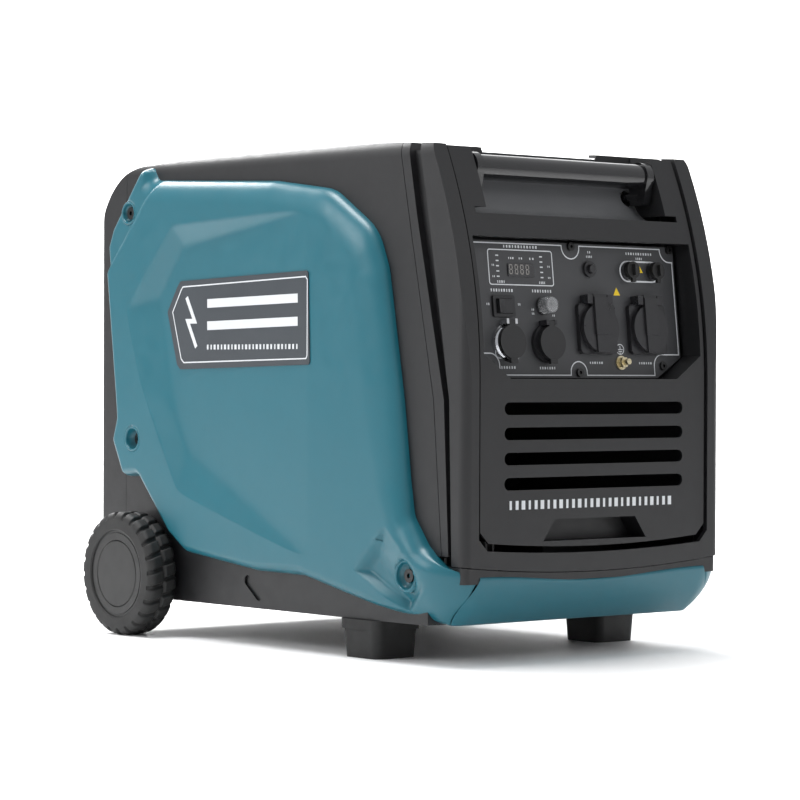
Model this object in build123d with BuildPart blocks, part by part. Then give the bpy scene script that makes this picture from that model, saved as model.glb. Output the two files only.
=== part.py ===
from build123d import *
from math import asin, cos, sin, sqrt
import os

# An enclosed inverter generator on two wheels and two feet.
# X runs across it (+X is on the right of whoever faces the control panel), Y from the control
# panel (-Y) to the exhaust (+Y), and Z up from the floor. The origin is on the floor, under the
# middle of the bounding box. Lengths are in millimetres.

# ---- driving dimensions ----
FRONT, REAR = -300.0, 300.0      # outer front and rear faces of the black enclosure
HALF = 172.0                     # half width over the black side shells
PANEL_HALF = 190.0               # half width over the coloured side panels
BOTTOM = 38.0                    # underside of the tray
SKIRT = 104.0                    # top of the tray walls, where the shells begin
CROWN = 505.0                    # highest line of the top
BEND_Z, BEND_R = 270.0, 545.0    # the front leans back on this arc above BEND_Z
EDGE_R = 9.0                     # rounding of the upright corners
SHOULDER_R = 18.0                # rounding of the long top edges
WALL = 3.0                       # plastic wall
SEAM = 0.4                       # half of a visible seam
FASCIA_HALF = 152.0
CHEEK_IN = 121.0                 # inner faces of the two cheeks beside the handle
RAIL_TOP, RAIL_BOTTOM = 431.0, 413.0
WHEEL_R, WHEEL_OUT, WHEEL_IN = 65.0, 216.0, 180.0
AXLE_Y, AXLE_R = 207.0, 7.0
RUNNING = 0.05                   # radial clearance of a turning or sliding fit
LEAN = asin(14.0 / 122.8)        # lean of the control panel
HANDLE_Y, HANDLE_Z, HANDLE_R = -243.0, 477.0, 12.5
ROD_X, ROD_Z, ROD_R = 113.0, 456.0, 4.5
CRANK_Y, CRANK_Z = 70.0, 165.0
CAP_X, CAP_Y, CAP_R = 0.0, -60.0, 34.0

PANEL = Plane(origin=(0, -274.3, 279.0), x_dir=(1, 0, 0), z_dir=(0, -cos(LEAN), sin(LEAN)))


def save(part, name):
    """Label a finished piece and write it to its own file."""
    os.makedirs("parts", exist_ok=True)
    part.label = name
    export_step(part, f"parts/{name}.step")


# =====================================================================================
# Enclosure: one outer body is drawn, and the shells are cut from its skin along the seams
# =====================================================================================
def front_y(z, inset=0.0):
    """Y of the front face at height z: upright, then an arc that leans back."""
    rise = max(0.0, z - BEND_Z)
    radius = BEND_R - inset
    return FRONT + BEND_R - sqrt(radius**2 - rise**2)


def body(inset):
    """The whole enclosure as a solid, moved in by inset all round."""
    top = CROWN - inset
    with BuildPart() as solid:
        with BuildSketch(Plane.YZ):
            with BuildLine():
                Line((FRONT + inset, BOTTOM + inset), (FRONT + inset, BEND_Z))
                ThreePointArc((FRONT + inset, BEND_Z), (front_y(390, inset), 390),
                              (front_y(top - 8, inset), top - 8))
                ThreePointArc((front_y(top - 8, inset), top - 8), (-10, top), (213, top - 7))
                ThreePointArc((213, top - 7), (271 - inset * 0.7, 478 - inset * 0.7),
                              (REAR - inset, 424))
                Polyline((REAR - inset, 424), (REAR - inset, 60), (278, BOTTOM + inset),
                         (FRONT + inset, BOTTOM + inset))
            make_face()
        extrude(amount=HALF - inset, both=True)
        # rounded shoulders, seen from the front
        with BuildSketch(Plane.XZ):
            with Locations((0, (BOTTOM + top) / 2)):
                RectangleRounded(2 * (HALF - inset), top - BOTTOM, SHOULDER_R - inset)
            with Locations((0, BOTTOM + 60)):
                Rectangle(2 * (HALF - inset), 120)
        extrude(amount=400, both=True, mode=Mode.INTERSECT)
        # rounded upright corners, seen from above
        with BuildSketch(Plane.XY.offset(BOTTOM)):
            with Locations((0, (FRONT + REAR) / 2)):
                RectangleRounded(2 * (HALF - inset), REAR - FRONT - 2 * inset, EDGE_R - inset)
        extrude(amount=600, mode=Mode.INTERSECT)
    return solid.part


def slab(points, x_low, x_high):
    """A prism with a Y-Z outline, from x_low to x_high."""
    with BuildPart() as prism:
        with BuildSketch(Plane.YZ.offset(x_low)):
            with BuildLine():
                Polyline(*points, close=True)
            make_face()
        extrude(amount=x_high - x_low)
    return prism.part


# the three seam lines down each side: Y at each of the heights SEAM_Z
SEAM_Z = (60.0, 253.0, 430.0, 530.0)
HOOP_BACK = (-282.0, -277.0, -246.0, -226.0)
BAND_FRONT = (-279.5, -270.0, -230.0, -211.0)
BAND_BACK = (-271.0, -254.8, -218.0, -198.0)
GROOVE_FLOOR = 8.5               # depth of the floor of the groove behind the hoop


def behind(line, shift, z_low=SKIRT, y_high=400.0):
    """Outline of everything behind a seam line and above z_low."""
    points = [(y + shift, z) for y, z in zip(line, SEAM_Z)]
    return points + [(y_high, SEAM_Z[-1]), (y_high, SEAM_Z[0])]


def ahead(line, shift):
    points = [(y + shift, z) for y, z in zip(line, SEAM_Z)]
    return [(-400.0, SEAM_Z[0])] + points + [(-400.0, SEAM_Z[-1])]


skin = body(0) - body(WALL)
above_skirt = slab([(-400, SKIRT + 2 * SEAM), (400, SKIRT + 2 * SEAM), (400, 600), (-400, 600)],
                   -200, 200)
lid_zone = slab([(-210, 440), (246, 440), (246, 600), (-210, 600)], -158, 158)
REAR_SEAM = 250.0
rear_zone = slab([(REAR_SEAM, SKIRT), (400, SKIRT), (400, 600), (REAR_SEAM, 600)], -200, 200)

# ---- top cover: a lid set a little below the shoulders, with a seam inside them ----
LID_DROP = 4.0
with BuildPart() as top_cover:
    add((body(LID_DROP) - body(LID_DROP + WALL)) & lid_zone
        & slab(behind(BAND_BACK, SEAM), -200, 200)
        & slab([(-400, 440), (REAR_SEAM - 2 * SEAM - 6, 440), (REAR_SEAM - 2 * SEAM - 6, 600),
                (-400, 600)], -200, 200))
    # filler well: the fuel cap passes through here
    with BuildSketch(Plane.XY.offset(CROWN - 20)):
        with Locations((CAP_X, CAP_Y)):
            Circle(CAP_R + 3)
    extrude(amount=40, mode=Mode.SUBTRACT)
save(top_cover.part, "top_cover")

# ---- side shells: the wall and shoulder left and right of the lid ----
shell_zone = (slab(behind(BAND_BACK, SEAM), -200, 200) - rear_zone) & above_skirt
for side, name in ((-1, "left_shell"), (1, "right_shell")):
    with BuildPart() as side_shell:
        add(skin & shell_zone)
        with BuildSketch(Plane.YZ.offset(side * -250)):
            Rectangle(1200, 1400)
        extrude(amount=side * (250 + 158.8), mode=Mode.SUBTRACT)
    save(side_shell.part, name)

# ---- band: the arch between the hoop and the shells ----
with BuildPart() as front_band:
    add(skin & slab(behind(BAND_FRONT, SEAM), -200, 200) & slab(ahead(BAND_BACK, -SEAM), -200, 200)
        & above_skirt)
    # the rear wall of the groove, and its sunk floor, which runs forward under the hoop
    add((body(WALL) - body(GROOVE_FLOOR)) & slab(behind(BAND_FRONT, SEAM), -200, 200)
        & slab(ahead(BAND_FRONT, WALL), -200, 200) & above_skirt)
    add((body(GROOVE_FLOOR - 1.5) - body(GROOVE_FLOOR)) & slab(behind(HOOP_BACK, -4), -200, 200)
        & slab(ahead(BAND_FRONT, WALL), -200, 200) & above_skirt)
    # open where the handle stands
    with BuildSketch(Plane.XY.offset(400)):
        with Locations((0, -266)):
            Rectangle(2 * CHEEK_IN + 8, 100)
    extrude(amount=150, mode=Mode.SUBTRACT)
    # and clear of the fascia's edge
    with BuildSketch(Plane.XY.offset(SKIRT)):
        with Locations((0, -266)):
            Rectangle(2 * FASCIA_HALF + 6, 100)
    extrude(amount=437 - SKIRT, mode=Mode.SUBTRACT)
    # the middle of the arch dips behind the handle
    with BuildSketch(Plane.XZ.offset(196)):
        with BuildLine():
            Polyline((-86, 520), (-76, 493.5), (76, 493.5), (86, 520), close=True)
        make_face()
    extrude(amount=60, mode=Mode.SUBTRACT)
save(front_band.part, "front_band")

# ---- rear cover with louvres and a round exhaust opening ----
EXHAUST_Z, EXHAUST_R = 250.0, 32.0
with BuildPart() as rear_cover:
    add(skin & slab([(REAR_SEAM - 2 * SEAM - 5, SKIRT + 2 * SEAM), (400, SKIRT + 2 * SEAM),
                     (400, 600), (REAR_SEAM - 2 * SEAM - 5, 600)], -200, 200)
        & slab([(REAR_SEAM + SEAM, 90), (400, 90), (400, 600), (REAR_SEAM + SEAM, 600)], -200, 200))
    with BuildSketch(Plane.XZ.offset(-REAR - 5)):
        with Locations((0, EXHAUST_Z)):
            Circle(EXHAUST_R + 4)
        for row in range(7):
            with Locations((-95, 195 + 18 * row), (95, 195 + 18 * row)):
                SlotOverall(92, 8)
        for row in range(3):
            with Locations((0, 350 + 18 * row)):
                SlotOverall(220, 8)
    extrude(amount=30, mode=Mode.SUBTRACT)
save(rear_cover.part, "rear_cover")

def shield(half, corner, corner_z, sag_z, top=600.0):
    """A prism along Y: upright sides, cut lower corners and a bottom edge that sags."""
    with BuildPart() as prism:
        with BuildSketch(Plane.XZ.offset(200)):
            with BuildLine():
                Line((-half, top), (half, top))
                Line((half, top), (half, corner_z + corner))
                Line((half, corner_z + corner), (half - corner, corner_z))
                ThreePointArc((half - corner, corner_z), (0, sag_z), (corner - half, corner_z))
                Line((corner - half, corner_z), (-half, corner_z + corner))
                Line((-half, corner_z + corner), (-half, top))
            make_face()
        extrude(amount=200)
    return prism.part


# ---- front hoop: the frame round the fascia, with its lower lip ----
HOOP_SAG = (98.0, 86.5)          # the hoop's bottom edge, at its ends and in the middle
SINK = 2.0                       # the fascia's face lies this far behind the hoop's
with BuildPart() as front_hoop:
    add(((body(0) - body(5.0)) & slab(ahead(HOOP_BACK, -SEAM), -200, 200)
         & shield(200, 8, HOOP_SAG[0], HOOP_SAG[1])) - shield(FASCIA_HALF + 1.8, 11, 110, 105))
save(front_hoop.part, "front_hoop")

# ---- front fascia: slotted lower half, panel bezel, rail, cheeks and lifting recess ----
BEZEL = [(-146, 409), (146, 409), (146, 296), (112, 273), (-112, 273), (-146, 296)]
with BuildPart() as behind_panel:
    with BuildSketch(PANEL.offset(0.5)):
        Rectangle(600, 900)
    extrude(amount=-200)
with BuildPart() as front_fascia:
    add((body(SINK) - body(SINK + 3)) & slab(ahead(HOOP_BACK, -SEAM), -200, 200)
        & shield(FASCIA_HALF - 1.2, 11, 117, 111))
    # bezel walls that run back to the control panel
    with BuildPart(mode=Mode.PRIVATE) as bezel:
        with BuildSketch(Plane.XZ.offset(240)):
            with BuildLine():
                Polyline(*BEZEL, close=True)
            make_face()
            offset(amount=3.0, kind=Kind.INTERSECTION)
        extrude(amount=100)
        add(behind_panel.part, mode=Mode.SUBTRACT)
        add(body(SINK), mode=Mode.INTERSECT)
    add(bezel.part)
    with BuildSketch(Plane.XZ.offset(240)):
        with BuildLine():
            Polyline(*BEZEL, close=True)
        make_face()
    extrude(amount=100, mode=Mode.SUBTRACT)
    # handle opening, open at the top
    with BuildSketch(Plane.XZ.offset(150)):
        with BuildLine():
            Polyline((-CHEEK_IN, 560), (-CHEEK_IN, 437), (-136, 437), (-136, RAIL_TOP),
                     (136, RAIL_TOP), (136, 437), (CHEEK_IN, 437), (CHEEK_IN, 560), close=True)
        make_face()
    extrude(amount=250, mode=Mode.SUBTRACT)
    # inner walls of the cheeks
    for side in (-1, 1):
        add(slab([(-300, 437), (-224, 437), (-224, 489), (-300, 489)],
                 *sorted((side * CHEEK_IN, side * (CHEEK_IN + WALL)))) & body(SINK))
    # cooling slots
    with BuildSketch(Plane.XZ.offset(280)):
        for row in range(4):
            with Locations((0, 172.7 + 23.95 * row)):
                SlotOverall(240, 12)
    extrude(amount=40, mode=Mode.SUBTRACT)
    # lifting recess
    with BuildSketch(Plane.XZ.offset(272)):
        with BuildLine():
            Polyline((-58, 141), (58, 141), (73, 114), (-73, 114), close=True)
        make_face()
    extrude(amount=26)
    with BuildSketch(Plane.XZ.offset(275)):
        with BuildLine():
            Polyline((-54, 138), (54, 138), (69, 117), (-69, 117), close=True)
        make_face()
    extrude(amount=40, mode=Mode.SUBTRACT)
save(front_fascia.part, "front_fascia")

# ---- handle well: the trough behind the handle tube ----
with BuildPart() as handle_well:
    with BuildSketch(Plane.YZ.offset(-CHEEK_IN + SEAM)):
        with BuildLine():
            Line((-265, 430), (-262, 430))
            ThreePointArc((-262, 430), (-236, 439), (-223, 462))
            Line((-223, 462), (-221, 485))
            Line((-221, 485), (-218, 485))
            Line((-218, 485), (-220, 462))
            ThreePointArc((-220, 462), (-234, 436), (-262, 427))
            Line((-262, 427), (-265, 427))
            Line((-265, 427), (-265, 430))
        make_face()
    extrude(amount=2 * (CHEEK_IN - SEAM))
    with BuildSketch(Plane.XZ.offset(200)):
        with Locations((-ROD_X, ROD_Z), (ROD_X, ROD_Z)):
            Circle(ROD_R + 4)
    extrude(amount=60, mode=Mode.SUBTRACT)
save(handle_well.part, "handle_well")

# ---- base tray: floor, side walls and the dark strip under the hoop ----
TRAY_HALF, TRAY_WALL = 174.0, 4.0
STRIP = 79.0                     # bottom of the strip between hoop and bumper
with BuildPart() as base_tray:
    with BuildSketch(Plane.YZ):
        with BuildLine():
            Polyline((-250, BOTTOM), (270, BOTTOM), (284, 54), (284, SKIRT), (-250, SKIRT),
                     close=True)
        make_face()
    extrude(amount=TRAY_HALF, both=True)
    fillet(base_tray.edges().filter_by(Axis.Z).group_by(Axis.Y)[-1], 20)
    with BuildSketch(Plane.YZ):
        with BuildLine():
            Polyline((-260, BOTTOM + TRAY_WALL), (268, BOTTOM + TRAY_WALL), (280, 56), (280, 120),
                     (-260, 120), close=True)
        make_face()
    extrude(amount=TRAY_HALF - TRAY_WALL, both=True, mode=Mode.SUBTRACT)
    # front wall behind the bumper
    with BuildSketch(Plane.XZ.offset(246)):
        with Locations((0, BOTTOM + 2)):
            Rectangle(2 * TRAY_HALF - 2, 46, align=(Align.CENTER, Align.MIN))
    extrude(amount=TRAY_WALL)
    # the strip, a ledge that carries it, and the walls either side of it
    add((body(2.0) - body(5.0)) & slab([(-400, STRIP), (-249, STRIP), (-249, 130), (-400, 130)],
                                       -200, 200) - shield(200, 8, HOOP_SAG[0] - 2 * SEAM,
                                                           HOOP_SAG[1] - 2 * SEAM))
    with BuildSketch(Plane.XY.offset(STRIP)):
        with Locations((0, -271)):
            Rectangle(2 * 160, 46)
    extrude(amount=3)
    with BuildSketch(Plane.YZ):
        with Locations((AXLE_Y, WHEEL_R)):
            Circle(AXLE_R)
    extrude(amount=200, both=True, mode=Mode.SUBTRACT)
    for side in (-1, 1):
        with BuildSketch(Plane.YZ.offset(side * (TRAY_HALF + 1))):
            with Locations((22.5, 58.5)):
                SlotOverall(34, 11, rotation=38)
        extrude(amount=-side * 3.5, mode=Mode.SUBTRACT)
save(base_tray.part, "base_tray")

# =====================================================================================
# Coloured parts: the bumper, and the side panels that wrap round the lower front corners
# =====================================================================================
WRAP_R = 45.0                    # outer radius of a wrapped corner, seen from above
WRAP_X, WRAP_Y = PANEL_HALF - WRAP_R, FRONT + WRAP_R
PANEL_T_EDGE = 16.0              # thickness of a wrapped corner


def under_front(part):
    """The part less what lies below the rising underside at the front and the corners."""
    with BuildPart() as trimmed:
        add(part)
        with BuildSketch(Plane.YZ):
            with BuildLine():
                Polyline((-310, 62), (-299, 62), (-293, 48), (-280, BOTTOM), (-280, 30), (-310, 30),
                         close=True)
            make_face()
        extrude(amount=200, both=True, mode=Mode.SUBTRACT)
        for side in (-1, 1):
            with BuildSketch(Plane.XZ.offset(WRAP_R - WRAP_Y - 70)):
                with BuildLine():
                    Polyline((side * 200, 68), (side * 190, 68), (side * 184, 52),
                             (side * 168, BOTTOM), (side * 168, 30), (side * 200, 30), close=True)
                make_face()
            extrude(amount=80, mode=Mode.SUBTRACT)
    return trimmed.part


def bumper_zone(shift):
    """A prism along Y between the two slanting seams, its sides moved out by shift."""
    with BuildPart() as prism:
        with BuildSketch(Plane.XZ.offset(200)):
            with BuildLine():
                Polyline((-152 - shift, 100), (152 + shift, 100), (152 + shift, 86),
                         (160 + shift, 56), (162 + shift, 30), (-162 - shift, 30),
                         (-160 - shift, 56), (-152 - shift, 86), close=True)
            make_face()
        extrude(amount=200)
    return prism.part


# ---- front bumper: the coloured band below the hoop ----
with BuildPart() as bumper_block:
    with BuildSketch(Plane.XY.offset(BOTTOM)):
        with BuildLine():
            Polyline((-200, WRAP_Y + 0.5), (200, WRAP_Y + 0.5), (200, FRONT), (-200, FRONT),
                     close=True)
        make_face()
        with Locations((0, WRAP_Y)):
            RectangleRounded(2 * PANEL_HALF, 2 * WRAP_R, WRAP_R - 0.1,
                             mode=Mode.INTERSECT)
    extrude(amount=STRIP - SEAM - BOTTOM)
save(under_front(bumper_block.part & bumper_zone(-SEAM)), "front_bumper")

# ---- side panels, each with a sunk field, three screw wells and a badge plate ----
PANEL_OUTLINE = [(190, 481), (-17, 471), (-108, 459), (-174, 417), (-190, 379), (-213, 252),
                 (-223, 176), (-229, 141), (WRAP_Y, 110), (WRAP_Y, BOTTOM), (-246, 39),
                 (-198, 50), (-137, 63), (7, 76), (124, 90), (154, 109), (210, 169.5),
                 (236, 167), (254, 205), (246, 229), (248, 248), (268, 413), (260, 432),
                 (222, 476), (206, 492), (194, 494)]
FIELD_OUTLINE = [(-96, 441), (142, 415), (190, 357), (172, 268), (117, 167), (-103, 87)]
SCREW_WELLS = [(229, 447.5, 10.0), (214, 207, 11.0), (-231, 85, 13.0)]
FIELD_DEPTH, FIELD_FRONT, FIELD_REAR = 11.0, -100.0, 192.0
SLOPE = FIELD_DEPTH / (FIELD_REAR - FIELD_FRONT)
WELL_FLOOR = 179.0
BADGE_T = 1.5

# the wrapped corner's upper edge falls towards the front, and it stops short of the body
corner_top = slab([(WRAP_Y, 110), (-284, 95), (FRONT, 88), (FRONT, 30), (WRAP_Y, 30)], -200, 0)
outside_body = body(-0.6) & slab([(-400, STRIP - SEAM), (0, STRIP - SEAM), (0, 400), (-400, 400)],
                                 -200, 200)

with BuildPart() as left_side_panel:
    with BuildSketch(Plane.YZ.offset(-PANEL_HALF)):
        with BuildLine():
            Polyline(*PANEL_OUTLINE, close=True)
        make_face()
    extrude(amount=PANEL_HALF - HALF - 2.2)
    outer_face = left_side_panel.faces().sort_by(Axis.X)[0]
    flush = [edge for edge in outer_face.edges() if edge.center().Y < WRAP_Y + 2]
    chamfer([edge for edge in outer_face.edges() if edge not in flush], 4)
    # the corner that wraps round to the front
    with BuildPart(mode=Mode.PRIVATE) as corner:
        with BuildSketch(Plane.XY.offset(BOTTOM)):
            with Locations((-WRAP_X, WRAP_Y)):
                Circle(WRAP_R)
                Circle(WRAP_R - PANEL_T_EDGE, mode=Mode.SUBTRACT)
            with BuildLine():
                Polyline((-PANEL_HALF - 1, WRAP_Y), (-WRAP_X, WRAP_Y), (-WRAP_X, FRONT - 1),
                         (-PANEL_HALF - 1, FRONT - 1), close=True)
            make_face(mode=Mode.INTERSECT)
        extrude(amount=120)
        add(corner_top, mode=Mode.INTERSECT)
        add(outside_body, mode=Mode.SUBTRACT)
        add(bumper_zone(SEAM), mode=Mode.SUBTRACT)
    add(under_front(corner.part))
    with BuildPart(mode=Mode.PRIVATE) as sunk_field:
        with BuildSketch(Plane.YZ.offset(-PANEL_HALF - 1)):
            with BuildLine():
                Polyline(*FIELD_OUTLINE, close=True)
            make_face()
        extrude(amount=FIELD_DEPTH + 2)
        with BuildSketch(Plane.XY):
            with BuildLine():
                Polyline((-PANEL_HALF - 1, FIELD_FRONT), (-PANEL_HALF, FIELD_FRONT),
                         (-PANEL_HALF + FIELD_DEPTH, FIELD_REAR), (-PANEL_HALF - 1, FIELD_REAR),
                         close=True)
            make_face()
        extrude(amount=600, mode=Mode.INTERSECT)
    add(sunk_field.part, mode=Mode.SUBTRACT)
    for y, z, r in SCREW_WELLS:
        with BuildSketch(Plane.YZ.offset(-PANEL_HALF - 1)):
            with Locations((y, z)):
                Circle(r)
        extrude(amount=PANEL_HALF + 1 - WELL_FLOOR, mode=Mode.SUBTRACT)
    # the back is hollowed where the wall is full thickness, clear of the field and the wells
    with BuildSketch(Plane.YZ.offset(-HALF - 2)):
        with BuildLine():
            Polyline((-198, 80), (-125, 90), (-85, 430), (-150, 430), (-190, 370), close=True)
        make_face()
    extrude(amount=-12, mode=Mode.SUBTRACT)
save(left_side_panel.part, "left_side_panel")
save(mirror(left_side_panel.part, about=Plane.YZ), "right_side_panel")

with BuildPart() as side_panel_screws:
    for side in (-1, 1):
        for y, z, r in SCREW_WELLS:
            with BuildSketch(Plane.YZ.offset(side * WELL_FLOOR)):
                with Locations((y, z)):
                    Circle(6.5)
                    RegularPolygon(2.6, 6, mode=Mode.SUBTRACT)
            extrude(amount=side * 3)
save(side_panel_screws.part, "side_panel_screws")

FIELD = Plane(origin=(-PANEL_HALF, FIELD_FRONT, 0), x_dir=(SLOPE, 1, 0), z_dir=(-1, SLOPE, 0))
with BuildPart() as left_badge:
    with BuildSketch(FIELD.offset(0.02)):
        with BuildLine():
            Polyline((13, -379), (238, -373), (244, -367), (262, -341), (244, -286), (238, -281),
                     (10, -286), close=True)
        make_face()
        fillet(vertices(), 4)
    extrude(amount=BADGE_T)
with BuildPart() as side_badges:
    add(left_badge.part)
    mirror(left_badge.part, about=Plane.YZ)
save(side_badges.part, "side_badges")

# =====================================================================================
# Running gear
# =====================================================================================
WHEEL = Plane(origin=(0, AXLE_Y, WHEEL_R), x_dir=(1, 0, 0), z_dir=(0, -1, 0))
WHEEL_AXIS = Axis((0, AXLE_Y, WHEEL_R), (1, 0, 0))
RIM_R, COVER_R = 46.0, 43.0

with BuildPart() as left_tyre:
    with BuildSketch(WHEEL):
        with BuildLine():
            Polyline((-WHEEL_OUT + 0.5, RIM_R), (-WHEEL_OUT, RIM_R + 3), (-WHEEL_OUT, 57),
                     (-WHEEL_OUT + 1.5, 60.5), (-WHEEL_OUT + 5, 63.5), (-WHEEL_OUT + 10, WHEEL_R),
                     (-WHEEL_IN - 10, WHEEL_R), (-WHEEL_IN - 5, 63.5), (-WHEEL_IN - 1.5, 60.5),
                     (-WHEEL_IN, 57), (-WHEEL_IN, RIM_R + 3), (-WHEEL_IN - 0.5, RIM_R),
                     close=True)
        make_face()
    revolve(axis=WHEEL_AXIS)
save(left_tyre.part, "left_tyre")
save(mirror(left_tyre.part, about=Plane.YZ), "right_tyre")

with BuildPart() as left_hub:
    with BuildSketch(WHEEL):
        with BuildLine():
            Polyline((-WHEEL_OUT + 2, RIM_R), (-WHEEL_OUT + 2, COVER_R + 0.3),
                     (-WHEEL_OUT + 6, COVER_R + 0.3), (-WHEEL_OUT + 6, 32), (-WHEEL_OUT + 12, 30),
                     (-WHEEL_OUT + 12, AXLE_R + RUNNING), (-WHEEL_IN - 0.5, AXLE_R + RUNNING),
                     (-WHEEL_IN - 0.5, 14), (-WHEEL_IN - 16, 16), (-WHEEL_IN - 16, 38),
                     (-WHEEL_IN - 2, 40), (-WHEEL_IN - 2, RIM_R), close=True)
        make_face()
    revolve(axis=WHEEL_AXIS)
save(left_hub.part, "left_hub")
save(mirror(left_hub.part, about=Plane.YZ), "right_hub")

with BuildPart() as left_hub_cover:
    with BuildSketch(WHEEL):
        with BuildLine():
            Polyline((-WHEEL_OUT + 1.5, 0), (-WHEEL_OUT + 1.5, 34), (-WHEEL_OUT + 2.5, 35),
                     (-WHEEL_OUT + 1.5, 36), (-WHEEL_OUT + 1.5, COVER_R), (-WHEEL_OUT + 5.9, COVER_R),
                     (-WHEEL_OUT + 5.9, 0), close=True)
        make_face()
    revolve(axis=WHEEL_AXIS)
save(left_hub_cover.part, "left_hub_cover")
save(mirror(left_hub_cover.part, about=Plane.YZ), "right_hub_cover")

with BuildPart() as axle:
    with BuildSketch(WHEEL):
        Rectangle(2 * 203, AXLE_R, align=(Align.CENTER, Align.MIN))
        for side in (-1, 1):
            with Locations((side * 177, 0)):
                Rectangle(3.6, AXLE_R + 5, align=(Align.CENTER, Align.MIN))
    revolve(axis=WHEEL_AXIS)
save(axle.part, "axle")

FOOT_X, FOOT_Y, FOOT = 149.0, -150.0, 55.0
with BuildPart() as front_feet:
    for side in (-1, 1):
        with BuildSketch(Plane.XY):
            with Locations((side * FOOT_X, FOOT_Y)):
                RectangleRounded(FOOT - 4, FOOT - 4, 8)
        with BuildSketch(Plane.XY.offset(28)):
            with Locations((side * FOOT_X, FOOT_Y)):
                RectangleRounded(FOOT, FOOT, 9)
        loft()
        with BuildSketch(Plane.XY.offset(28)):
            with Locations((side * FOOT_X, FOOT_Y)):
                RectangleRounded(FOOT + 4, FOOT + 4, 9)
        extrude(amount=BOTTOM - 28)
save(front_feet.part, "front_feet")

# =====================================================================================
# Telescopic pull handle
# =====================================================================================
TUBE_HALF, FITTING_W, FITTING_R = 110.0, 9.0, 14.5
with BuildPart() as handle_tube:
    with BuildSketch(Plane.YZ):
        with Locations((HANDLE_Y, HANDLE_Z)):
            Circle(HANDLE_R)
            Circle(HANDLE_R - 2, mode=Mode.SUBTRACT)
    extrude(amount=TUBE_HALF, both=True)
save(handle_tube.part, "handle_tube")

with BuildPart() as handle_rods:
    for side in (-1, 1):
        # corner fitting: holds the end of the tube and the end of a rod
        with BuildSketch(Plane.YZ.offset(side * TUBE_HALF)):
            with Locations((HANDLE_Y, HANDLE_Z)):
                Circle(FITTING_R)
            with BuildLine():
                Polyline((HANDLE_Y - FITTING_R, HANDLE_Z), (HANDLE_Y + FITTING_R, HANDLE_Z),
                         (HANDLE_Y + 10, 448), (HANDLE_Y - 8, 448), close=True)
            make_face()
        extrude(amount=side * FITTING_W)
        with BuildSketch(Plane.XZ.offset(-HANDLE_Y)):
            with Locations((side * ROD_X, ROD_Z)):
                Circle(ROD_R)
        extrude(amount=-380)
save(handle_rods.part, "handle_rods")

with BuildPart() as handle_guides:
    for side in (-1, 1):
        with BuildSketch(Plane.XZ.offset(214)):
            with Locations((side * ROD_X, ROD_Z)):
                Circle(ROD_R + 3)
                Circle(ROD_R + RUNNING, mode=Mode.SUBTRACT)
        extrude(amount=-370)
save(handle_guides.part, "handle_guides")

# =====================================================================================
# Control panel and its instruments: x is across, v is up the leaning panel
# =====================================================================================
PANEL_T = 3.0


def on_panel(x, v, out=0.0):
    """A plane on the panel's face at (x, v), standing out from it."""
    centre = PANEL.from_local_coords(Vector(x, v, out))
    return Plane(origin=centre, x_dir=(1, 0, 0), z_dir=PANEL.z_dir)


SCREWS = [(0, 124.5), (-136.5, 125), (136.5, 125), (0, 0), (-116, 7), (116, 7)]
OUTLETS = [(25.5, 43.4), (95.0, 43.4)]
DISPLAY, ROCKER, BREAKER = (-68.5, 99.5), (-95.0, 64.0), (-43.0, 65.0)
LINK_SOCKET, DC_SOCKET, SOCKET_R = (-94.0, 28.5), (-42.0, 28.0), 19.0
RESET, EARTH = (23.0, 102.7), (58.0, 10.0)
PARALLEL = [(77.0, 102.5), (112.0, 102.5)]

with BuildPart() as control_panel:
    with BuildSketch(PANEL):
        with BuildLine():
            Polyline((-143, 128), (143, 128), (143, 16), (108, -5), (-108, -5), (-143, 16),
                     close=True)
        make_face()
    extrude(amount=-PANEL_T)
    for x, v in OUTLETS + [LINK_SOCKET, DC_SOCKET]:
        with BuildSketch(on_panel(x, v)):
            Circle(15.5)
        extrude(amount=-10, mode=Mode.SUBTRACT)
    for x, v in PARALLEL + [BREAKER, RESET]:
        with BuildSketch(on_panel(x, v)):
            Circle(6.5)
        extrude(amount=-10, mode=Mode.SUBTRACT)
    with BuildSketch(on_panel(*ROCKER)):
        Rectangle(22, 16)
    extrude(amount=-10, mode=Mode.SUBTRACT)
save(control_panel.part, "control_panel")

with BuildPart() as display_window:
    with BuildSketch(on_panel(*DISPLAY)):
        RectangleRounded(34, 13, 1)
    extrude(amount=1.2)
save(display_window.part, "display_window")

with BuildPart() as panel_screws:
    for x, v in SCREWS:
        with BuildSketch(on_panel(x, v)):
            Circle(4.2)
            RegularPolygon(1.9, 6, mode=Mode.SUBTRACT)
        extrude(amount=2.4)
save(panel_screws.part, "panel_screws")

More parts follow.
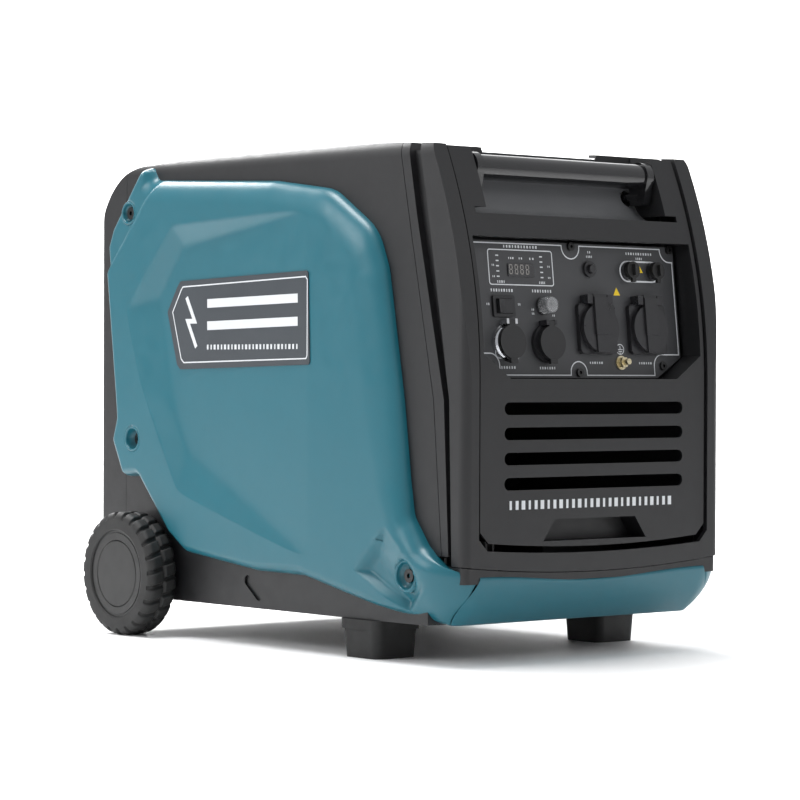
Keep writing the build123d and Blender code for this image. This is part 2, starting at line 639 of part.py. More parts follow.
# ---- mains outlets with sprung lids ----
PIN_V, PIN_W, PIN_R = 30.5, 8.0, 1.5     # lid hinge, from the outlet's centre
with BuildPart() as outlets:
    for x, v in OUTLETS:
        with BuildSketch(on_panel(x, v)):
            RectangleRounded(50, 50, 5)
            Circle(19.5, mode=Mode.SUBTRACT)
        extrude(amount=5)
        with BuildSketch(on_panel(x, v, -16)):
            Circle(15.2)
        extrude(amount=13)
        with BuildSketch(on_panel(x, v, -3)):
            Circle(15.2)
            Circle(13.5, mode=Mode.SUBTRACT)
        extrude(amount=3)
        with BuildSketch(on_panel(x, v)):
            Circle(19.5)
            Circle(13.5, mode=Mode.SUBTRACT)
        extrude(amount=1.5)
        # the two live contacts sink into the floor of the well
        with BuildSketch(on_panel(x, v, -3)):
            with GridLocations(19, 1, 2, 1):
                Circle(2.4)
        extrude(amount=-10, mode=Mode.SUBTRACT)
        # ears for the lid's hinge pin
        for side in (-1, 1):
            with BuildSketch(on_panel(x + side * 13.5, v + PIN_V - 2)):
                Rectangle(7, 9)
            extrude(amount=11)
            with BuildPart(mode=Mode.PRIVATE) as pin_hole:
                with BuildSketch(Plane(origin=PANEL.from_local_coords(Vector(x, v + PIN_V, PIN_W)),
                                       x_dir=(0, 1, 0), z_dir=(1, 0, 0))):
                    Circle(PIN_R + RUNNING)
                extrude(amount=40, both=True)
            add(pin_hole.part, mode=Mode.SUBTRACT)
save(outlets.part, "outlets")

for (x, v), name in zip(OUTLETS, ("outlet_lid_left", "outlet_lid_right")):
    with BuildPart() as lid:
        with BuildSketch(on_panel(x, v, 5.4)):
            Circle(24)
        extrude(amount=4.6)
        with BuildSketch(on_panel(x, v + 12, 5.4)):
            Rectangle(18, 37)
        extrude(amount=7)
        with BuildSketch(on_panel(x, v - 8, 10)):
            Rectangle(16, 32)
        extrude(amount=1.6)
        with BuildSketch(on_panel(x, v + PIN_V, 5.0)):
            Rectangle(18, 6.4)
        extrude(amount=6)
        # the hinge pin is moulded on and turns in the outlet's ears
        with BuildSketch(Plane(origin=PANEL.from_local_coords(Vector(x - 17, v + PIN_V, PIN_W)),
                               x_dir=(0, 1, 0), z_dir=(1, 0, 0))):
            Circle(PIN_R)
        extrude(amount=34)
    save(lid.part, name)

# ---- two round low-voltage sockets, each with a hinged cap ----
CAP_PIN_V, CAP_PIN_W = 20.5, 8.5
for (x, v), body_name, cap_name in ((LINK_SOCKET, "link_socket", "link_cap"),
                                    (DC_SOCKET, "dc_socket", "dc_cap")):
    pin_plane = Plane(origin=PANEL.from_local_coords(Vector(x - 7, v + CAP_PIN_V, CAP_PIN_W)),
                      x_dir=(0, 1, 0), z_dir=(1, 0, 0))
    with BuildPart() as round_socket:
        with BuildSketch(on_panel(x, v)):
            Circle(SOCKET_R)
            Circle(12, mode=Mode.SUBTRACT)
        extrude(amount=4)
        with BuildSketch(on_panel(x, v)):
            Circle(16)
            Circle(12, mode=Mode.SUBTRACT)
        extrude(amount=6)
        with BuildSketch(on_panel(x, v, -14)):
            Circle(15)
        extrude(amount=10)
        with BuildSketch(on_panel(x, v, -4)):
            Circle(15)
            Circle(12, mode=Mode.SUBTRACT)
        extrude(amount=4)
        for side in (-1, 1):
            with BuildSketch(on_panel(x + side * 5.5, v + 19.9)):
                Rectangle(3, 5)
            extrude(amount=11)
        with BuildSketch(pin_plane):
            Circle(1.2)
        extrude(amount=14)
    save(round_socket.part, body_name)
    with BuildPart() as cap:
        with BuildSketch(on_panel(x, v, 6.4)):
            Circle(16.5)
        extrude(amount=4.5)
        with BuildSketch(on_panel(x, v + 15, 6.4)):
            Rectangle(7.4, 13)
        extrude(amount=4.5)
        with BuildSketch(on_panel(x, v - 17, 7.5)):
            Rectangle(9, 7)
        extrude(amount=3)
        with BuildPart(mode=Mode.PRIVATE) as cap_bore:
            with BuildSketch(pin_plane):
                Circle(1.2 + RUNNING)
            extrude(amount=14)
        add(cap_bore.part, mode=Mode.SUBTRACT)
    save(cap.part, cap_name)

# ---- economy rocker switch ----
with BuildPart() as rocker_frame:
    with BuildSketch(on_panel(*ROCKER)):
        RectangleRounded(28, 21, 2)
        Rectangle(20.5, 14.5, mode=Mode.SUBTRACT)
    extrude(amount=2.5)
    with BuildSketch(on_panel(*ROCKER, -14)):
        Rectangle(21.5, 15.5)
    extrude(amount=14)
    with BuildSketch(on_panel(*ROCKER, -6)):
        Rectangle(20.5, 14.5)
    extrude(amount=7, mode=Mode.SUBTRACT)
save(rocker_frame.part, "rocker_frame")

ROCK = 7.0       # degrees, the resting tilt of the rocker
rock_plane = Plane(origin=PANEL.from_local_coords(Vector(ROCKER[0], ROCKER[1] - 6.8, 0)),
                   x_dir=(1, 0, 0), z_dir=PANEL.y_dir)
with BuildPart() as rocker:
    with BuildSketch(rock_plane.rotated((0, 0, ROCK))):
        with BuildLine():
            Polyline((-9.3, 0), (9.3, 0), (9.3, -4.6), (0, -2.8), (-9.3, -4.6), close=True)
        make_face()
        with Locations((0, 1)):
            Circle(2.2)
    extrude(amount=13.6)
save(rocker.part, "rocker")

# ---- push buttons: DC breaker under a clear boot, and the AC reset ----
with BuildPart() as button_bezels:
    for spot, outer in ((BREAKER, 8.8), (RESET, 8.0)):
        with BuildSketch(on_panel(*spot)):
            Circle(outer)
            Circle(4.6, mode=Mode.SUBTRACT)
        extrude(amount=3)
        with BuildSketch(on_panel(*spot, -14)):
            Circle(6.3)
        extrude(amount=8)
        with BuildSketch(on_panel(*spot, -6)):
            Circle(6.3)
            Circle(4.6, mode=Mode.SUBTRACT)
        extrude(amount=6)
save(button_bezels.part, "button_bezels")

for spot, length, name in ((BREAKER, 9.5, "breaker_button"), (RESET, 7.0, "reset_button")):
    with BuildPart() as button:
        with BuildSketch(on_panel(*spot, -2.4)):
            Circle(4.3)
        extrude(amount=2.4 + length)
        fillet(button.faces().sort_by(Axis((0, 0, 0), PANEL.z_dir))[-1].edges(), 1.2)
    save(button.part, name)

with BuildPart() as breaker_boot:
    with BuildSketch(on_panel(*BREAKER, 3)):
        Circle(8.2)
    extrude(amount=13)
    fillet(breaker_boot.faces().sort_by(Axis((0, 0, 0), PANEL.z_dir))[-1].edges(), 3)
    with BuildSketch(on_panel(*BREAKER, 3)):
        Circle(6.6)
    extrude(amount=11.5, mode=Mode.SUBTRACT)
save(breaker_boot.part, "breaker_boot")

# ---- parallel-connection sockets with pull-off caps ----
with BuildPart() as parallel_sockets:
    for spot in PARALLEL:
        with BuildSketch(on_panel(*spot)):
            Circle(9)
            Circle(4.5, mode=Mode.SUBTRACT)
        extrude(amount=4)
        with BuildSketch(on_panel(*spot, -12)):
            Circle(6.3)
            Circle(4.5, mode=Mode.SUBTRACT)
        extrude(amount=12)
save(parallel_sockets.part, "parallel_sockets")

for spot, name in zip(PARALLEL, ("parallel_cap_left", "parallel_cap_right")):
    with BuildPart() as pull_cap:
        with BuildSketch(on_panel(*spot, -3)):
            Circle(4.1)
        extrude(amount=8)
        with BuildSketch(on_panel(*spot, 4.4)):
            Circle(8.6)
        extrude(amount=4.6)
        with BuildSketch(on_panel(spot[0], spot[1] - 6, 6)):
            Rectangle(5, 12)
        extrude(amount=3)
        with BuildSketch(on_panel(*spot, 9)):
            Rectangle(3, 11)
        extrude(amount=4)
    save(pull_cap.part, name)

with BuildPart() as earth_terminal:
    with BuildSketch(on_panel(*EARTH)):
        Circle(7)
    extrude(amount=1.2)
    with BuildSketch(on_panel(*EARTH, 1.2)):
        RegularPolygon(5.5, 6)
    extrude(amount=5)
    with BuildSketch(on_panel(*EARTH, 6.2)):
        Circle(3)
    extrude(amount=6)
save(earth_terminal.part, "earth_terminal")

# =====================================================================================
# Fuel system
# =====================================================================================
with BuildPart() as fuel_tank:
    with BuildSketch(Plane.XY.offset(372)):
        with Locations((0, -55)):
            RectangleRounded(196, 230, 25)
    extrude(amount=100)
    fillet(fuel_tank.faces().filter_by(Axis.Z).edges(), 10)
    with BuildSketch(Plane.XY.offset(375)):
        with Locations((0, -55)):
            RectangleRounded(190, 224, 22)
    extrude(amount=94, mode=Mode.SUBTRACT)
    with BuildSketch(Plane.XY.offset(468)):
        with Locations((CAP_X, CAP_Y)):
            Circle(22)
            Circle(18, mode=Mode.SUBTRACT)
    extrude(amount=24)
    with BuildSketch(Plane.XY.offset(460)):
        with Locations((CAP_X, CAP_Y)):
            Circle(18)
    extrude(amount=20, mode=Mode.SUBTRACT)
save(fuel_tank.part, "fuel_tank")

with BuildPart() as fuel_cap:
    with BuildSketch(Plane.XY.offset(482)):
        with Locations((CAP_X, CAP_Y)):
            Circle(CAP_R)
            with PolarLocations(CAP_R + 2, 12):
                Circle(4, mode=Mode.SUBTRACT)
    extrude(amount=20)
    with BuildSketch(Plane.XY.offset(482)):
        with Locations((CAP_X, CAP_Y)):
            Circle(22.4)
    extrude(amount=11, mode=Mode.SUBTRACT)
    with BuildSketch(Plane.XY.offset(502)):
        with Locations((CAP_X, CAP_Y)):
            Circle(5)
    extrude(amount=-3, mode=Mode.SUBTRACT)
save(fuel_cap.part, "fuel_cap")

with BuildPart() as vent_lever:
    with BuildSketch(Plane.XY.offset(499)):
        with Locations((CAP_X, CAP_Y)):
            Circle(5 - RUNNING)
    extrude(amount=3.4)
    with BuildSketch(Plane.XY.offset(502.3)):
        with Locations((CAP_X, CAP_Y - 8)):
            SlotOverall(30, 10, rotation=90)
    extrude(amount=3.2)
save(vent_lever.part, "vent_lever")

# =====================================================================================
# Engine, alternator, starter and exhaust
# =====================================================================================
SHAFT_R = 12.0
CRANK = Plane(origin=(0, CRANK_Y, CRANK_Z), x_dir=(0, 1, 0), z_dir=(1, 0, 0))
with BuildPart() as engine:
    with BuildSketch(Plane.XY.offset(85)):
        with Locations((-5, CRANK_Y)):
            RectangleRounded(110, 124, 12)
    extrude(amount=145)
    with BuildSketch(Plane.XY.offset(230)):
        with Locations((-5, CRANK_Y)):
            RectangleRounded(90, 84, 8)
    extrude(amount=115)
    # cooling fins: grooves round the cylinder
    for level in range(8):
        with BuildSketch(Plane.XY.offset(238 + 9 * level)):
            with Locations((-5, CRANK_Y)):
                Rectangle(120, 120)
                RectangleRounded(70, 64, 6, mode=Mode.SUBTRACT)
        extrude(amount=5, mode=Mode.SUBTRACT)
    for x in (-45, 35):
        for y in (CRANK_Y - 45, CRANK_Y + 45):
            with BuildSketch(Plane.XY.offset(BOTTOM + 4.2)):
                with Locations((x, y)):
                    Circle(12)
            extrude(amount=85 - BOTTOM - 4.2)
    with BuildSketch(CRANK.offset(-100)):
        Circle(SHAFT_R + RUNNING)
    extrude(amount=200, mode=Mode.SUBTRACT)
    with BuildSketch(CRANK.offset(-40)):
        Circle(50)
    extrude(amount=68, mode=Mode.SUBTRACT)
save(engine.part, "engine")

with BuildPart() as crankshaft:
    with BuildSketch(CRANK.offset(-70)):
        Circle(SHAFT_R)
    extrude(amount=55)
    with BuildSketch(CRANK.offset(3)):
        Circle(SHAFT_R)
    extrude(amount=107)
    for start in (-27, -9 + 12):
        with BuildSketch(CRANK.offset(start)):
            Circle(30)
            with Locations((0, -12)):
                Circle(34)
        extrude(amount=12)
    with BuildSketch(CRANK.offset(-16)):
        with Locations((0, 20)):
            Circle(9)
    extrude(amount=20)
save(crankshaft.part, "crankshaft")

with BuildPart() as stator:
    with BuildSketch(CRANK.offset(50.2)):
        Circle(63)
        Circle(16, mode=Mode.SUBTRACT)
        with PolarLocations(52, 12):
            Rectangle(26, 8, mode=Mode.SUBTRACT)
    extrude(amount=30)
save(stator.part, "stator")

with BuildPart() as flywheel:
    with BuildSketch(CRANK.offset(58)):
        Circle(75)
        Circle(65, mode=Mode.SUBTRACT)
    extrude(amount=27)
    with BuildSketch(CRANK.offset(84)):
        Circle(75)
        Circle(SHAFT_R, mode=Mode.SUBTRACT)
    extrude(amount=8)
    with BuildSketch(CRANK.offset(92)):
        with PolarLocations(56, 16):
            Rectangle(30, 3)
    extrude(amount=12)
save(flywheel.part, "flywheel")

with BuildPart() as recoil_housing:
    with BuildSketch(CRANK.offset(112)):
        Circle(86)
        Circle(83, mode=Mode.SUBTRACT)
    extrude(amount=46)
    with BuildSketch(CRANK.offset(155)):
        Circle(86)
    extrude(amount=3)
    with BuildSketch(CRANK.offset(124)):
        Circle(8)
    extrude(amount=31)
save(recoil_housing.part, "recoil_housing")

DRUM_R = 50.0
with BuildPart() as recoil_drum:
    with BuildSketch(CRANK.offset(127)):
        Circle(DRUM_R + 6)
        Circle(8 + RUNNING, mode=Mode.SUBTRACT)
    extrude(amount=22)
    with BuildSketch(CRANK.offset(133)):
        Circle(DRUM_R + 8)
        Circle(DRUM_R, mode=Mode.SUBTRACT)
    extrude(amount=10, mode=Mode.SUBTRACT)
save(recoil_drum.part, "recoil_drum")

GRIP_Y, GRIP_Z = 60.0, 215.0
with BuildPart() as recoil_grip:
    with BuildSketch(Plane.YZ.offset(185)):
        with Locations((GRIP_Y, GRIP_Z)):
            Circle(7)
    extrude(amount=10)
    with BuildSketch(Plane.YZ.offset(194)):
        with Locations((GRIP_Y, GRIP_Z)):
            SlotOverall(84, 20)
    extrude(amount=17)
    fillet(recoil_grip.faces().sort_by(Axis.X)[-1].edges(), 5)
save(recoil_grip.part, "recoil_grip")

KNOB_Y, KNOB_Z = -165.0, 300.0
with BuildPart() as engine_knob:
    with BuildSketch(Plane.YZ.offset(PANEL_HALF + 0.3)):
        with Locations((KNOB_Y, KNOB_Z)):
            Circle(21)
    extrude(amount=6)
    with BuildSketch(Plane.YZ.offset(PANEL_HALF + 6.3)):
        with Locations((KNOB_Y, KNOB_Z)):
            SlotOverall(40, 11, rotation=90)
    extrude(amount=9)
save(engine_knob.part, "engine_knob")

with BuildPart() as muffler:
    with BuildSketch(Plane.XZ.offset(-162)):
        with Locations((0, EXHAUST_Z)):
            RectangleRounded(180, 96, 28)
    extrude(amount=-72)
    fillet(muffler.faces().filter_by(Axis.Y).edges(), 8)
    with BuildSketch(Plane.XZ.offset(-234)):
        with Locations((0, EXHAUST_Z)):
            Circle(24)
    extrude(amount=-52)
    with BuildSketch(Plane.XZ.offset(-240)):
        with Locations((0, EXHAUST_Z)):
            Circle(21)
    extrude(amount=-60, mode=Mode.SUBTRACT)
    with BuildSketch(Plane.XZ.offset(-112.5)):
        with Locations((0, 318)):
            Circle(14)
    extrude(amount=-60)
    with BuildSketch(Plane.XZ.offset(-160)):
        with Locations((0, 306)):
            Rectangle(30, 40)
    extrude(amount=-28)
save(muffler.part, "muffler")

with BuildPart() as air_filter:
    with BuildSketch(Plane.XY.offset(235)):
        with Locations((-115, CRANK_Y)):
            RectangleRounded(70, 110, 10)
    extrude(amount=100)
    with BuildSketch(Plane.YZ.offset(-82)):
        with Locations((CRANK_Y, 325)):
            Circle(16)
    extrude(amount=31.6)
save(air_filter.part, "air_filter")

with BuildPart() as inverter_module:
    with BuildSketch(Plane.XY.offset(BOTTOM + 6)):
        with Locations((-88, -125)):
            RectangleRounded(120, 130, 4)
    extrude(amount=40)
    with BuildSketch(Plane.XY.offset(BOTTOM + 46)):
        with Locations((-88, -125)):
            with GridLocations(9, 1, 13, 1):
                Rectangle(2.5, 124)
    extrude(amount=26)
save(inverter_module.part, "inverter_module")

with BuildPart() as battery:
    with BuildSketch(Plane.XY.offset(BOTTOM + 5)):
        with Locations((95, -145)):
            Rectangle(110, 70)
    extrude(amount=88)
    for side in (-1, 1):
        with BuildSketch(Plane.XY.offset(BOTTOM + 93)):
            with Locations((95 + side * 38, -160)):
                Circle(6)
        extrude(amount=8)
save(battery.part, "battery")
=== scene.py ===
"""Looks of the enclosed inverter generator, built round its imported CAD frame."""
import math

import bpy
import numpy as np
from mathutils import Matrix, Vector


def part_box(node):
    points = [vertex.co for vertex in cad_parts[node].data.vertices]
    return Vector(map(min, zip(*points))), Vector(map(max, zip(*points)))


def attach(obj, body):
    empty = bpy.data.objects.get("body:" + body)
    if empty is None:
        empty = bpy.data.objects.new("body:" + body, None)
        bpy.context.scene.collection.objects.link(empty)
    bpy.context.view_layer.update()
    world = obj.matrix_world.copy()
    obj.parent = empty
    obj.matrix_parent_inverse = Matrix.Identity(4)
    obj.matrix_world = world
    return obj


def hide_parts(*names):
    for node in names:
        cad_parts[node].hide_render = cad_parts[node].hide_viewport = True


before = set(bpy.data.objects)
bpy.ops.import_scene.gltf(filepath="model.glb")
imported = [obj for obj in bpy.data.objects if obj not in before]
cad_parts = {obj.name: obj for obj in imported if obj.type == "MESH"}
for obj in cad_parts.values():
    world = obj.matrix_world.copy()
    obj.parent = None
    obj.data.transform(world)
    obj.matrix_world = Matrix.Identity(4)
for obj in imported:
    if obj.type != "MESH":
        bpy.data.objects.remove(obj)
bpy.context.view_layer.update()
MM = 0.001
BODY = "enclosure"


# ============================ mesh helpers ============================
def new_piece(name, points, faces, material, body=BODY, slot=None, replaces=(), smooth=True):
    """A mesh object at the origin from an array of points in millimetres and a list of faces."""
    mesh = bpy.data.meshes.new(name)
    mesh.from_pydata((np.asarray(points) * MM).tolist(), [], [tuple(f) for f in faces])
    mesh.validate()
    mesh.polygons.foreach_set("use_smooth", np.full(len(mesh.polygons), smooth))
    mesh.materials.append(material)
    piece = bpy.data.objects.new(name, mesh)
    bpy.context.scene.collection.objects.link(piece)
    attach(piece, body)
    if replaces:
        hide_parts(*replaces)
    return piece


def grid_faces(rows, columns, wrap_rows=False, wrap_columns=False, start=0, flip=False):
    """Quads of a rows by columns grid, as an array: each cell's four corners in order."""
    r = np.arange(rows if wrap_rows else rows - 1)[:, None]
    c = np.arange(columns if wrap_columns else columns - 1)[None, :]
    r_next, c_next = (r + 1) % rows, (c + 1) % columns
    quads = np.stack([r * columns + c + 0 * r_next, r_next * columns + c,
                      r_next * columns + c_next, r * columns + c_next], -1).reshape(-1, 4) + start
    return quads[:, ::-1] if flip else quads


def join(parts):
    """Several (points, faces) pairs as one, with the faces renumbered."""
    points, faces, start = [], [], 0
    for part_points, part_faces in parts:
        points.append(np.asarray(part_points, float).reshape(-1, 3))
        faces += [tuple(int(i) + start for i in f) for f in part_faces]
        start += len(points[-1])
    return np.concatenate(points), faces


def lathe(profile, steps, frame_at):
    """A profile of (radius, height) pairs turned about an axis: the point at turn a is
    centre + radius (cos a, sin a) in the plane + height along the axis."""
    centre, across, up, axis = (np.asarray(v, float) for v in frame_at)
    turn = np.linspace(0, 2 * np.pi, steps, endpoint=False)
    profile = np.asarray(profile, float)
    ring = np.cos(turn)[:, None, None] * across + np.sin(turn)[:, None, None] * up
    points = centre + profile[None, :, :1] * ring + profile[None, :, 1:] * axis
    return points.reshape(-1, 3), grid_faces(steps, len(profile), wrap_rows=True)


def smooth_step(x):
    """0 below 0, 1 above 1, and 3 x squared less 2 x cubed between."""
    x = np.clip(x, 0, 1)
    return x * x * (3 - 2 * x)


# ============================ materials ============================
NOISE_LOW, NOISE_HIGH = 0.3, 0.7
DRIFT_SCALE, SHEEN_SCALE = 9.0, 60.0    # slow colour drift and uneven sheen of moulded plastic


def node_tools(name):
    """A new material, its nodes and links, its shader and its object coordinates."""
    material = bpy.data.materials.new(name)
    material.use_nodes = True
    nodes, links = material.node_tree.nodes, material.node_tree.links
    shader = nodes["Principled BSDF"]
    place = nodes.new("ShaderNodeTexCoord").outputs["Object"]
    return material, nodes, links, shader, place


def noise(nodes, links, place, scale, detail=4.0, rough=0.55):
    """The value of a noise texture, scale being its features to the metre."""
    node = nodes.new("ShaderNodeTexNoise")
    node.inputs["Scale"].default_value = scale
    node.inputs["Detail"].default_value = detail
    node.inputs["Roughness"].default_value = rough
    links.new(place, node.inputs["Vector"])
    return node.outputs["Fac"]


def spread(nodes, links, value, low, high):
    """A noise value, which mostly lies between NOISE_LOW and NOISE_HIGH, as low to high."""
    node = nodes.new("ShaderNodeMapRange")
    node.inputs["From Min"].default_value = NOISE_LOW
    node.inputs["From Max"].default_value = NOISE_HIGH
    node.inputs["To Min"].default_value = low
    node.inputs["To Max"].default_value = high
    links.new(value, node.inputs["Value"])
    return node.outputs["Result"]


def bump(nodes, links, shader, height, strength, distance):
    """Small relief from a noise value, distance being its full depth in metres."""
    node = nodes.new("ShaderNodeBump")
    node.inputs["Strength"].default_value = strength
    node.inputs["Distance"].default_value = distance
    links.new(height, node.inputs["Height"])
    links.new(node.outputs["Normal"], shader.inputs["Normal"])


def two_tone(nodes, links, shader, factor, dark, light):
    """A base colour that runs from dark to light with the factor."""
    node = nodes.new("ShaderNodeMix")
    node.data_type = "RGBA"
    node.inputs[6].default_value = (*dark, 1)
    node.inputs[7].default_value = (*light, 1)
    links.new(factor, node.inputs[0])
    links.new(node.outputs[2], shader.inputs["Base Color"])


def moulded(name, colour, rough=0.5, grain=1400.0, grain_depth=0.00006, variety=0.12, coat=0.0):
    """Moulded plastic: slow colour drift, a spark-eroded grain and a slightly uneven sheen."""
    material, nodes, links, shader, place = node_tools(name)
    colour = np.array(colour)
    two_tone(nodes, links, shader, noise(nodes, links, place, DRIFT_SCALE, 3.0),
             colour * (1 - variety), colour * (1 + variety))
    sheen = noise(nodes, links, place, SHEEN_SCALE)
    links.new(spread(nodes, links, sheen, rough - 0.05, rough + 0.06), shader.inputs["Roughness"])
    bump(nodes, links, shader, noise(nodes, links, place, grain, 2.0), 0.5, grain_depth)
    shader.inputs["Coat Weight"].default_value = coat
    shader.inputs["Coat Roughness"].default_value = 0.12
    return material


def metal(name, colour, rough=0.3, stretch=(1.0, 1.0, 40.0), scale=60.0):
    """Machined or plated metal: fine marks drawn out along one axis."""
    material, nodes, links, shader, place = node_tools(name)
    mapping = nodes.new("ShaderNodeMapping")
    mapping.inputs["Scale"].default_value = stretch
    links.new(place, mapping.inputs["Vector"])
    marks = noise(nodes, links, mapping.outputs["Vector"], scale)
    colour = np.array(colour)
    two_tone(nodes, links, shader, marks, colour * 0.85, np.minimum(colour * 1.1, 1))
    links.new(spread(nodes, links, marks, rough - 0.08, rough + 0.1), shader.inputs["Roughness"])
    bump(nodes, links, shader, marks, 0.3, 0.00005)
    shader.inputs["Metallic"].default_value = 1.0
    return material


def clear_plastic(name):
    """Soft clear plastic with a faint unevenness."""
    material, nodes, links, shader, place = node_tools(name)
    two_tone(nodes, links, shader, noise(nodes, links, place, 80.0), (0.75, 0.76, 0.78),
             (0.9, 0.91, 0.92))
    links.new(spread(nodes, links, noise(nodes, links, place, 300.0), 0.08, 0.2),
              shader.inputs["Roughness"])
    bump(nodes, links, shader, noise(nodes, links, place, 250.0), 0.3, 0.0002)
    shader.inputs["Transmission Weight"].default_value = 0.85
    shader.inputs["IOR"].default_value = 1.42
    return material


TEAL = moulded("teal_plastic", (0.009, 0.112, 0.150), rough=0.34, variety=0.04)
BLACK = moulded("black_plastic", (0.008, 0.008, 0.009), rough=0.44)
FASCIA_BLACK = moulded("fascia_plastic", (0.006, 0.006, 0.007), rough=0.44)
GREY = moulded("panel_grey_plastic", (0.040, 0.041, 0.044), rough=0.40)
# painted sheen: the handle well is black plastic, made lighter grey here to stand in for the studio
# light on its curved floor
WELL_PAINTED_SHEEN = moulded("well_painted_sheen_grey", (0.11, 0.113, 0.118), rough=0.36)
TYRE = moulded("tyre_rubber", (0.007, 0.007, 0.007), rough=0.6, grain=900.0, grain_depth=0.0002)
RUBBER = moulded("foot_rubber", (0.005, 0.005, 0.005), rough=0.6, grain=700.0, grain_depth=0.0002)
HUB = moulded("hub_plastic", (0.010, 0.010, 0.010), rough=0.45)
SATIN = moulded("satin_black", (0.016, 0.016, 0.018), rough=0.32)
GLOSS = moulded("gloss_black_paint", (0.006, 0.006, 0.007), rough=0.16, grain=200.0,
                grain_depth=0.00002, coat=0.6)
SCREEN = moulded("smoked_window", (0.008, 0.008, 0.010), rough=0.12, coat=1.0)
BADGE = moulded("badge_plate", (0.035, 0.042, 0.050), rough=0.35)
INK = moulded("light_print", (0.62, 0.64, 0.66), rough=0.5, variety=0.06)
YELLOW = moulded("yellow_print", (0.75, 0.52, 0.01), rough=0.5, variety=0.05)
DIGIT = moulded("dim_digits", (0.22, 0.21, 0.20), rough=0.4, variety=0.05)
TANK = moulded("tank_plastic", (0.05, 0.05, 0.05), rough=0.6)
ZINC = metal("zinc_steel", (0.55, 0.55, 0.54), rough=0.35)
CHROME = metal("chrome_ring", (0.75, 0.76, 0.78), rough=0.16)
BRASS = metal("brass", (0.70, 0.62, 0.42), rough=0.3)
ALLOY = metal("cast_alloy", (0.42, 0.42, 0.42), rough=0.5)
STEEL = metal("dark_steel", (0.25, 0.25, 0.26), rough=0.4)
SCREW = metal("black_screw", (0.06, 0.06, 0.06), rough=0.35)
COPPER = metal("copper_winding", (0.45, 0.22, 0.12), rough=0.4)
CLEAR = clear_plastic("clear_boot_plastic")

NODE_MATERIALS = {
    TEAL: ["front_bumper", "left_side_panel", "right_side_panel"],
    BLACK: ["front_hoop", "front_band", "left_shell", "right_shell", "top_cover", "rear_cover",
            "base_tray", "fuel_cap", "battery", "link_cap", "dc_cap"],
    FASCIA_BLACK: ["front_fascia"],
    GREY: ["control_panel", "breaker_button"],
    # the handle well's lighter grey is a painted sheen on black plastic
    WELL_PAINTED_SHEEN: ["handle_well"],
    TYRE: ["left_tyre", "right_tyre"],
    RUBBER: ["front_feet", "parallel_cap_left", "parallel_cap_right", "recoil_grip"],
    HUB: ["left_hub", "right_hub", "left_hub_cover", "right_hub_cover", "recoil_drum"],
    SATIN: ["outlets", "outlet_lid_left", "outlet_lid_right", "dc_socket", "rocker_frame", "rocker",
            "button_bezels", "reset_button", "parallel_sockets", "engine_knob", "vent_lever"],
    GLOSS: ["handle_tube", "handle_rods", "recoil_housing"],
    SCREEN: ["display_window"],
    BADGE: ["side_badges"],
    TANK: ["fuel_tank", "air_filter"],
    ZINC: ["axle", "handle_guides"],
    CHROME: ["link_socket"],
    BRASS: ["earth_terminal"],
    ALLOY: ["engine", "flywheel", "inverter_module"],
    STEEL: ["crankshaft", "muffler"],
    SCREW: ["panel_screws", "side_panel_screws"],
    COPPER: ["stator"],
    CLEAR: ["breaker_boot"],
}
for material, nodes_of_it in NODE_MATERIALS.items():
    for node in nodes_of_it:
        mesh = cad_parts[node].data
        mesh.materials.clear()
        mesh.materials.append(material)

# ============================ coloured side panels and bumper ============================
SHELL, THICK = 172.0, 18.0          # base plane of a side panel, and its full height above it
CORNER = 45.0                       # radius of the wrapped front corner, on its outer face
CORNER_Y = -255.0                   # where the wrap begins
SIDE_X = SHELL + THICK
UNDER_Z, BOTTOM_Z = 92.0, 38.0      # the wrap curves in under the body from the first to the second

# outline of a side panel: (distance along the wrapped plan, height, corner radius, edge rounding)
OUTLINE = [(190, 481, 8, 24), (-17, 471, 60, 26), (-108, 459, 60, 30), (-174, 417, 60, 38),
           (-190, 379, 60, 42), (-213, 252, 120, 42), (-223, 176, 60, 34), (-229, 141, 20, 26),
           (-252, 112, 20, 18), (-284, 95, 20, 10), (-319, 85, 2, 4), (-308, 62, 12, 2),
           (-282, 38, 2, 3), (-250, 38, 10, 8), (-198, 50, 30, 12), (-137, 62, 20, 12),
           (-70, 76, 20, 12), (7, 77, 20, 10), (124, 90, 14, 9), (154, 109, 6, 9),
           (208, 168, 6, 8), (236, 166, 7, 8), (256, 205, 6, 8), (248, 229, 6, 8),
           (250, 248, 6, 8), (271, 413, 10, 8), (262, 433, 6, 8), (225, 478, 6, 9),
           (211, 494, 7, 9), (200, 495, 6, 9)]
# outline of the sunk field: (distance along, height, steepness of the wall from there on)
FIELD = [(-96, 441, 0.42), (144, 431, 0.40), (226, 345, 0.22), (202, 269.5, 0.30),
         (133, 153, 0.20), (-103, 86.5, 0.05)]
FIELD_START, FIELD_LENGTH = -100.0, 292.0   # where its floor starts to slope in, and over what
FIELD_SLOPE = 11.0 / FIELD_LENGTH
WELLS = [(229, 447.5, 10.0), (214, 207, 11.0), (-231, 85, 13.0)]    # along, height, radius
WELL_DEPTH = 12.5
PANEL_CENTRE = (80.0, 188.0)        # every point of the outline is seen from here


